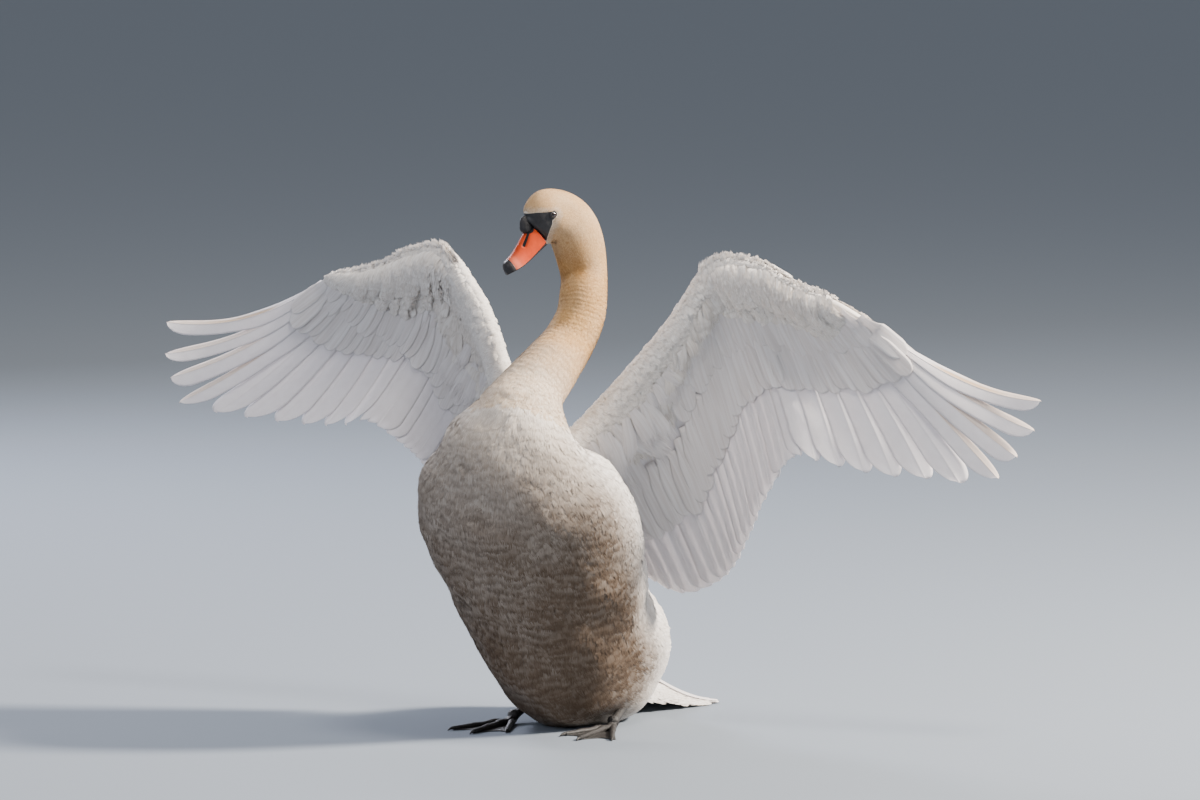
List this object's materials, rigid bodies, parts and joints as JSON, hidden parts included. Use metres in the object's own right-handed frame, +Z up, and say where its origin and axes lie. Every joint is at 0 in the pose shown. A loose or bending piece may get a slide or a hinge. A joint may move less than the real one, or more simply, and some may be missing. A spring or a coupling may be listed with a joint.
{
  "type": "mute swan",
  "caption": "Life-size still mute swan, rearing up with half-spread wings, neck in a gentle curve and head turned, seated on its belly with webbed feet and tail on the floor.",
  "frame": {"origin": "on the floor, on the flat that the hind belly sits on", "axes": "+Z up; the bird faces -Y, so its left wing reaches towards +X"},
  "size_m": [1.6107, 0.7194, 0.9008],
  "materials": {
    "plumage": "soft white feathers, matt",
    "neck_plumage": "short cream and golden buff feathers, matt",
    "bill_orange": "smooth horn, satin",
    "black_skin": "smooth horn and bare skin, satin",
    "eye": "wet gloss",
    "leg_skin": "scaly skin, matt"
  },
  "bodies": {
    "root": {"belly": "plumage", "bill_knob": "black_skin", "bill_lower": "black_skin", "bill_nail": "black_skin", "bill_upper": "bill_orange", "breast": "plumage", "eye_left": "eye", "eye_right": "eye", "foot_left": "leg_skin", "foot_right": "leg_skin", "head": "neck_plumage", "leg_left": "leg_skin", "leg_right": "leg_skin", "neck_lower": "neck_plumage", "neck_middle": "neck_plumage", "neck_upper": "neck_plumage", "tail": "plumage", "wing_left_forearm": "plumage", "wing_left_hand": "plumage", "wing_left_primary_01": "plumage", "wing_left_primary_02": "plumage", "wing_left_primary_03": "plumage", "wing_left_primary_04": "plumage", "wing_left_primary_05": "plumage", "wing_left_primary_06": "plumage", "wing_left_primary_07": "plumage", "wing_left_primary_08": "plumage", "wing_left_primary_09": "plumage", "wing_left_primary_10": "plumage", "wing_left_secondaries": "plumage", "wing_left_tertials": "plumage", "wing_left_upper_arm": "plumage", "wing_right_forearm": "plumage", "wing_right_hand": "plumage", "wing_right_primary_01": "plumage", "wing_right_primary_02": "plumage", "wing_right_primary_03": "plumage", "wing_right_primary_04": "plumage", "wing_right_primary_05": "plumage", "wing_right_primary_06": "plumage", "wing_right_primary_07": "plumage", "wing_right_primary_08": "plumage", "wing_right_primary_09": "plumage", "wing_right_primary_10": "plumage", "wing_right_secondaries": "plumage", "wing_right_tertials": "plumage", "wing_right_upper_arm": "plumage"}
  },
  "joints": []
}
